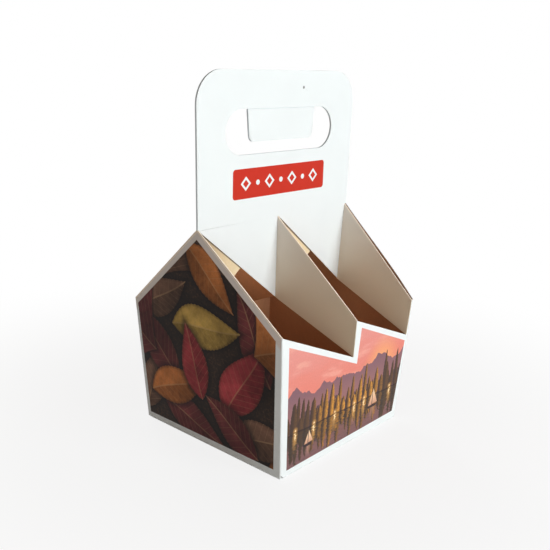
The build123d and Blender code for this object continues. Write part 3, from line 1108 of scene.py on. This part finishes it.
def studio_world(colour, strength, shade):
    """White background, and a dimmer light from all round, least from behind the object on the left."""
    world = bpy.data.worlds.new("studio_world")
    world.use_nodes = True
    bpy.context.scene.world = world
    world.node_tree.nodes.clear()
    nodes = ShaderNodes(world.node_tree)
    seen = background_rays(nodes)
    way = nodes.add("ShaderNodeTexCoord").outputs["Generated"]
    turn = nodes.add("ShaderNodeVectorMath", ((0, way), (1, SHADED_WAY)), operation="DOT_PRODUCT")
    shaded = nodes.ease(turn.outputs["Value"], SHADED_FROM, SHADED_TO)
    level = nodes.linear(shaded, -shade * strength, strength)
    sky = nodes.add("ShaderNodeBackground", (("Color", colour), ("Strength", level)))
    white = nodes.add("ShaderNodeBackground", (("Color", WHITE), ("Strength", 1.0)))
    blend = nodes.add("ShaderNodeMixShader", ((0, seen), (1, sky.outputs[0]), (2, white.outputs[0])))
    nodes.add("ShaderNodeOutputWorld", ((0, blend.outputs[0]),))


def studio_lamp(name, place, width, power, colour):
    """Soft round lamp that faces the object."""
    lamp = bpy.data.lights.new(name, "AREA")
    lamp.shape = "DISK"
    lamp.size = width
    lamp.energy = power
    lamp.color = colour
    holder = new_object(name, lamp)
    holder.location = place
    holder.rotation_mode = "QUATERNION"
    holder.rotation_quaternion = (Vector(LIT_POINT) - Vector(place)).to_track_quat("-Z", "Y")


def studio_camera(settings):
    """Camera that stands where the photograph was taken from."""
    data = bpy.data.cameras.new("studio_camera")
    data.sensor_width = 36.0
    data.lens = settings.lens
    data.clip_start = 0.01
    data.clip_end = 50.0
    camera = new_object("studio_camera", data)
    back = Vector((
        math.sin(settings.azimuth) * math.cos(settings.elevation),
        -math.cos(settings.azimuth) * math.cos(settings.elevation),
        math.sin(settings.elevation),
    ))
    camera.location = Vector(settings.target) + back * settings.distance
    camera.rotation_mode = "QUATERNION"
    level = (-back).to_track_quat("-Z", "Y")
    camera.rotation_quaternion = level @ Quaternion((0.0, 0.0, 1.0), settings.roll)
    bpy.context.scene.camera = camera


class CARRIER_OT_studio(bpy.types.Operator):
    """Make the floor, the background, the lamps and the camera"""

    bl_idname = "carrier.studio"
    bl_label = "Studio"

    def execute(self, context):
        settings = context.scene.carrier_studio
        context.scene.view_settings.view_transform = "Standard"
        studio_floor(settings.floor_size)
        studio_world(settings.sky_colour, settings.sky_light, settings.sky_shade)
        studio_lamp("key_lamp", settings.key_place, KEY_WIDTH, settings.key_power, KEY_COLOUR)
        studio_lamp("fill_lamp", FILL_PLACE, FILL_WIDTH, settings.fill_power, FILL_COLOUR)
        studio_lamp("back_lamp", BACK_PLACE, BACK_WIDTH, settings.back_power, BACK_COLOUR)
        studio_camera(settings)
        return {"FINISHED"}


class CARRIER_PT_panel(bpy.types.Panel):
    """Sidebar panel with every step and every setting"""

    bl_idname = "CARRIER_PT_panel"
    bl_label = "Bottle carrier"
    bl_space_type = "VIEW_3D"
    bl_region_type = "UI"
    bl_category = "Carrier"

    def draw(self, context):
        layout = self.layout
        for step in STEPS:
            layout.operator(step.bl_idname)
        for name in SETTINGS:
            group = getattr(context.scene, name)
            box = layout.box()
            for key in group.__annotations__:
                box.prop(group, key)


STEPS = (CARRIER_OT_board, CARRIER_OT_hand_flap, CARRIER_OT_studio)
SETTINGS = {
    "carrier_board": CarrierBoardSettings,
    "carrier_lake": CarrierLakeSettings,
    "carrier_leaves": CarrierLeafSettings,
    "carrier_studio": CarrierStudioSettings,
}


def register():
    """Makes the classes and settings known to Blender."""
    for settings in SETTINGS.values():
        bpy.utils.register_class(settings)
    for name, settings in SETTINGS.items():
        setattr(bpy.types.Scene, name, bpy.props.PointerProperty(type=settings))
    for step in STEPS:
        bpy.utils.register_class(step)
    bpy.utils.register_class(CARRIER_PT_panel)


def unregister():
    """Takes them out again."""
    bpy.utils.unregister_class(CARRIER_PT_panel)
    for step in reversed(STEPS):
        bpy.utils.unregister_class(step)
    for name, settings in SETTINGS.items():
        delattr(bpy.types.Scene, name)
        bpy.utils.unregister_class(settings)


def main():
    """Builds the pieces and the studio."""
    register()
    bpy.ops.carrier.board()
    bpy.ops.carrier.hand_flap()
    bpy.ops.carrier.studio()


if __name__ == "__main__":
    main()
